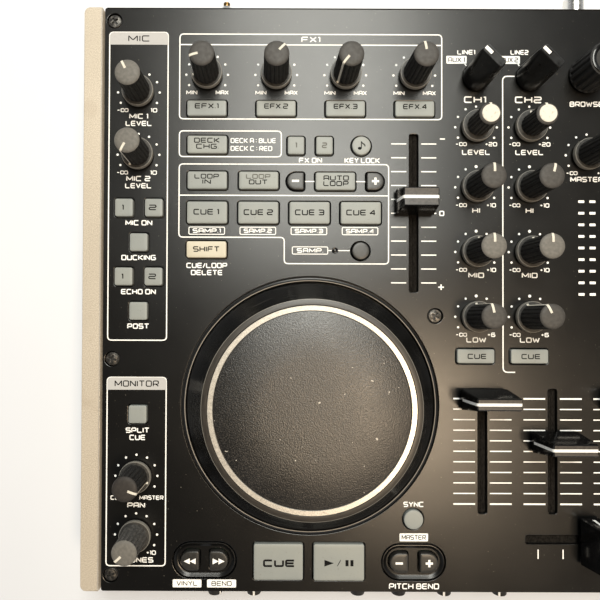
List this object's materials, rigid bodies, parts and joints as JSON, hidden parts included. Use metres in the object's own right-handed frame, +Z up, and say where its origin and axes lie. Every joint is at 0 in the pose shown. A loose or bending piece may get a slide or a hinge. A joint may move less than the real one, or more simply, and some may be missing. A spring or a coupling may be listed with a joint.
{
  "type": "dj controller",
  "caption": "Flat black DJ controller with silver end cheeks, jog wheels, pitch, channel and cross faders, rotary knobs and lit push keys.",
  "frame": {"origin": "on the table, below the middle of the whole object's box", "axes": "+X to the player's right, +Y to the rear, +Z up"},
  "size_m": [0.434, 0.271, 0.0515],
  "materials": {
    "panel": "semi-matt black paint",
    "casing": "fine textured black paint",
    "rail": "champagne satin",
    "board": "solder mask",
    "sockets": "satin",
    "knob": "soft-touch matt",
    "selector": "gloss",
    "fader_cap": "satin gloss",
    "key": "matt translucent grey",
    "jog": "gloss sides",
    "bezel": "satin gloss",
    "foot": "matt",
    "print": "screen print",
    "bright_ring": "bright turned",
    "jog_top": "fine metallic fleck",
    "dark_key": "satin",
    "lit_key": "translucent ivory",
    "screw": "black zinc",
    "bright_metal": "plated"
  },
  "bodies": {
    "chassis": {"top_panel": "panel", "bottom_cover": "casing", "front_panel": "casing", "rear_panel": "casing", "side_rail_left": "rail", "side_rail_right": "rail", "left_control_board": "board", "right_knob_board": "knob", "front_knob_board": "sockets", "rear_socket_block": "sockets", "jog_bezel_left": "bezel", "jog_bezel_right": "bezel", "foot_front_left": "foot", "foot_front_right": "foot", "foot_rear_left": "foot", "foot_rear_right": "foot"},
    "mic_1_knob": {"mic_1_knob": "knob"},
    "mic_2_knob": {"mic_2_knob": "knob"},
    "pan_knob": {"pan_knob": "knob"},
    "phones_knob": {"phones_knob": "knob"},
    "fx_knob_1": {"fx_knob_1": "knob"},
    "fx_knob_2": {"fx_knob_2": "knob"},
    "fx_knob_3": {"fx_knob_3": "knob"},
    "fx_knob_4": {"fx_knob_4": "knob"},
    "channel_1_level_knob": {"channel_1_level_knob": "knob"},
    "channel_1_high_knob": {"channel_1_high_knob": "knob"},
    "channel_1_mid_knob": {"channel_1_mid_knob": "knob"},
    "channel_1_low_knob": {"channel_1_low_knob": "knob"},
    "channel_1_selector": {"channel_1_selector": "selector"},
    "jog_wheel_left": {"jog_wheel_left": "jog"},
    "jog_wheel_right": {"jog_wheel_right": "jog"},
    "pitch_fader_left": {"pitch_fader_left": "fader_cap"},
    "pitch_fader_right": {"pitch_fader_right": "fader_cap"},
    "channel_fader_1": {"channel_fader_1": "fader_cap"},
    "channel_fader_2": {"channel_fader_2": "fader_cap"},
    "channel_fader_3": {"channel_fader_3": "fader_cap"},
    "channel_fader_4": {"channel_fader_4": "fader_cap"},
    "crossfader": {"crossfader": "fader_cap"},
    "effect_keys": {"effect_keys": "key"},
    "deck_change_key": {"deck_change_key": "key"},
    "fx_on_keys": {"fx_on_keys": "key"},
    "key_lock_key": {"key_lock_key": "key"},
    "loop_keys": {"loop_keys": "key"},
    "auto_loop_keys": {"auto_loop_keys": "key"},
    "hot_cue_keys": {"hot_cue_keys": "key"},
    "shift_key": {"shift_key": "key"},
    "sampler_key": {"sampler_key": "key"},
    "sync_key": {"sync_key": "key"},
    "search_back_key": {"search_back_key": "key"},
    "search_forward_key": {"search_forward_key": "key"},
    "cue_key": {"cue_key": "key"},
    "play_key": {"play_key": "key"},
    "bend_minus_key": {"bend_minus_key": "key"},
    "bend_plus_key": {"bend_plus_key": "key"},
    "mic_on_keys": {"mic_on_keys": "key"},
    "ducking_key": {"ducking_key": "key"},
    "echo_on_keys": {"echo_on_keys": "key"},
    "post_key": {"post_key": "key"},
    "split_cue_key": {"split_cue_key": "key"},
    "channel_1_cue_key": {"channel_1_cue_key": "key"}
  },
  "joints": [
    {"name": "mic_1_turn", "type": "hinge", "parent": "chassis", "child": "mic_1_knob", "pos_m": [-0.1933, 0.0886, 0.0345], "axis": [0, 0, 1], "range_deg": [-177, 123]},
    {"name": "mic_2_turn", "type": "hinge", "parent": "chassis", "child": "mic_2_knob", "pos_m": [-0.1933, 0.0616, 0.0345], "axis": [0, 0, 1], "range_deg": [-300, 0]},
    {"name": "pan_turn", "type": "hinge", "parent": "chassis", "child": "pan_knob", "pos_m": [-0.1933, -0.0764, 0.0345], "axis": [0, 0, 1], "range_deg": [-39, 261]},
    {"name": "phones_turn", "type": "hinge", "parent": "chassis", "child": "phones_knob", "pos_m": [-0.1933, -0.1014, 0.0345], "axis": [0, 0, 1], "range_deg": [-283, 17]},
    {"name": "fx_1_turn", "type": "hinge", "parent": "chassis", "child": "fx_knob_1", "pos_m": [-0.16384, 0.0964, 0.0345], "axis": [0, 0, 1], "range_deg": [-253, 47]},
    {"name": "fx_2_turn", "type": "hinge", "parent": "chassis", "child": "fx_knob_2", "pos_m": [-0.13401, 0.0964, 0.0345], "axis": [0, 0, 1], "range_deg": [-107, 193]},
    {"name": "fx_3_turn", "type": "hinge", "parent": "chassis", "child": "fx_knob_3", "pos_m": [-0.10418, 0.0964, 0.0345], "axis": [0, 0, 1], "range_deg": [-290, 10]},
    {"name": "fx_4_turn", "type": "hinge", "parent": "chassis", "child": "fx_knob_4", "pos_m": [-0.07435, 0.0964, 0.0345], "axis": [0, 0, 1], "range_deg": [-160, 140]},
    {"name": "channel_1_level_turn", "type": "hinge", "parent": "chassis", "child": "channel_1_level_knob", "pos_m": [-0.0477, 0.074, 0.0345], "axis": [0, 0, 1], "range_deg": [-150, 150]},
    {"name": "channel_1_high_turn", "type": "hinge", "parent": "chassis", "child": "channel_1_high_knob", "pos_m": [-0.0477, 0.048, 0.0345], "axis": [0, 0, 1], "range_deg": [-150, 150]},
    {"name": "channel_1_mid_turn", "type": "hinge", "parent": "chassis", "child": "channel_1_mid_knob", "pos_m": [-0.0477, 0.0201, 0.0345], "axis": [0, 0, 1], "range_deg": [-150, 150]},
    {"name": "channel_1_low_turn", "type": "hinge", "parent": "chassis", "child": "channel_1_low_knob", "pos_m": [-0.0477, -0.0078, 0.0345], "axis": [0, 0, 1], "range_deg": [-162, 138]},
    {"name": "channel_1_selector_turn", "type": "hinge", "parent": "chassis", "child": "channel_1_selector", "pos_m": [-0.0477, 0.0955, 0.0345], "axis": [0, 0, 1], "range_deg": [-90, 0]},
    {"name": "jog_wheel_left_spin", "type": "hinge", "parent": "chassis", "child": "jog_wheel_left", "pos_m": [-0.1191, -0.046, 0.0345], "axis": [0, 0, 1], "continuous": true},
    {"name": "jog_wheel_right_spin", "type": "hinge", "parent": "chassis", "child": "jog_wheel_right", "pos_m": [0.1191, -0.046, 0.0345], "axis": [0, 0, 1], "continuous": true},
    {"name": "pitch_fader_left_slide", "type": "slide", "parent": "chassis", "child": "pitch_fader_left", "axis": [0, 1, 0], "range_m": [-0.0343, 0.0257]},
    {"name": "pitch_fader_right_slide", "type": "slide", "parent": "chassis", "child": "pitch_fader_right", "axis": [0, 1, 0], "range_m": [-0.0343, 0.0257]},
    {"name": "channel_fader_1_slide", "type": "slide", "parent": "chassis", "child": "channel_fader_1", "axis": [0, 1, 0], "range_m": [-0.045, 0]},
    {"name": "channel_fader_2_slide", "type": "slide", "parent": "chassis", "child": "channel_fader_2", "axis": [0, 1, 0], "range_m": [-0.027, 0.018]},
    {"name": "channel_fader_3_slide", "type": "slide", "parent": "chassis", "child": "channel_fader_3", "axis": [0, 1, 0], "range_m": [-0.045, 0]},
    {"name": "channel_fader_4_slide", "type": "slide", "parent": "chassis", "child": "channel_fader_4", "axis": [0, 1, 0], "range_m": [-0.009, 0.036]},
    {"name": "crossfader_slide", "type": "slide", "parent": "chassis", "child": "crossfader", "axis": [1, 0, 0], "range_m": [-0.0225, 0.0225]},
    {"name": "effect_keys_press", "type": "slide", "parent": "chassis", "child": "effect_keys", "axis": [0, 0, 1], "range_m": [-0.0008, 0], "stiffness_N_per_m": 1200},
    {"name": "deck_change_key_press", "type": "slide", "parent": "chassis", "child": "deck_change_key", "axis": [0, 0, 1], "range_m": [-0.0008, 0], "stiffness_N_per_m": 1200},
    {"name": "fx_on_keys_press", "type": "slide", "parent": "chassis", "child": "fx_on_keys", "axis": [0, 0, 1], "range_m": [-0.0008, 0], "stiffness_N_per_m": 1200},
    {"name": "key_lock_key_press", "type": "slide", "parent": "chassis", "child": "key_lock_key", "axis": [0, 0, 1], "range_m": [-0.0008, 0], "stiffness_N_per_m": 1200},
    {"name": "loop_keys_press", "type": "slide", "parent": "chassis", "child": "loop_keys", "axis": [0, 0, 1], "range_m": [-0.0008, 0], "stiffness_N_per_m": 1200},
    {"name": "auto_loop_keys_press", "type": "slide", "parent": "chassis", "child": "auto_loop_keys", "axis": [0, 0, 1], "range_m": [-0.0008, 0], "stiffness_N_per_m": 1200},
    {"name": "hot_cue_keys_press", "type": "slide", "parent": "chassis", "child": "hot_cue_keys", "axis": [0, 0, 1], "range_m": [-0.0008, 0], "stiffness_N_per_m": 1200},
    {"name": "shift_key_press", "type": "slide", "parent": "chassis", "child": "shift_key", "axis": [0, 0, 1], "range_m": [-0.0008, 0], "stiffness_N_per_m": 1200},
    {"name": "sampler_key_press", "type": "slide", "parent": "chassis", "child": "sampler_key", "axis": [0, 0, 1], "range_m": [-0.0008, 0], "stiffness_N_per_m": 1200},
    {"name": "sync_key_press", "type": "slide", "parent": "chassis", "child": "sync_key", "axis": [0, 0, 1], "range_m": [-0.0008, 0], "stiffness_N_per_m": 1200},
    {"name": "search_back_key_press", "type": "slide", "parent": "chassis", "child": "search_back_key", "axis": [0, 0, 1], "range_m": [-0.0008, 0], "stiffness_N_per_m": 1200},
    {"name": "search_forward_key_press", "type": "slide", "parent": "chassis", "child": "search_forward_key", "axis": [0, 0, 1], "range_m": [-0.0008, 0], "stiffness_N_per_m": 1200},
    {"name": "cue_key_press", "type": "slide", "parent": "chassis", "child": "cue_key", "axis": [0, 0, 1], "range_m": [-0.0008, 0], "stiffness_N_per_m": 1200},
    {"name": "play_key_press", "type": "slide", "parent": "chassis", "child": "play_key", "axis": [0, 0, 1], "range_m": [-0.0008, 0], "stiffness_N_per_m": 1200},
    {"name": "bend_minus_key_press", "type": "slide", "parent": "chassis", "child": "bend_minus_key", "axis": [0, 0, 1], "range_m": [-0.0008, 0], "stiffness_N_per_m": 1200},
    {"name": "bend_plus_key_press", "type": "slide", "parent": "chassis", "child": "bend_plus_key", "axis": [0, 0, 1], "range_m": [-0.0008, 0], "stiffness_N_per_m": 1200},
    {"name": "mic_on_keys_press", "type": "slide", "parent": "chassis", "child": "mic_on_keys", "axis": [0, 0, 1], "range_m": [-0.0008, 0], "stiffness_N_per_m": 1200},
    {"name": "ducking_key_press", "type": "slide", "parent": "chassis", "child": "ducking_key", "axis": [0, 0, 1], "range_m": [-0.0008, 0], "stiffness_N_per_m": 1200},
    {"name": "echo_on_keys_press", "type": "slide", "parent": "chassis", "child": "echo_on_keys", "axis": [0, 0, 1], "range_m": [-0.0008, 0], "stiffness_N_per_m": 1200},
    {"name": "post_key_press", "type": "slide", "parent": "chassis", "child": "post_key", "axis": [0, 0, 1], "range_m": [-0.0008, 0], "stiffness_N_per_m": 1200},
    {"name": "split_cue_key_press", "type": "slide", "parent": "chassis", "child": "split_cue_key", "axis": [0, 0, 1], "range_m": [-0.0008, 0], "stiffness_N_per_m": 1200},
    {"name": "channel_1_cue_key_press", "type": "slide", "parent": "chassis", "child": "channel_1_cue_key", "axis": [0, 0, 1], "range_m": [-0.0008, 0], "stiffness_N_per_m": 1200}
  ]
}
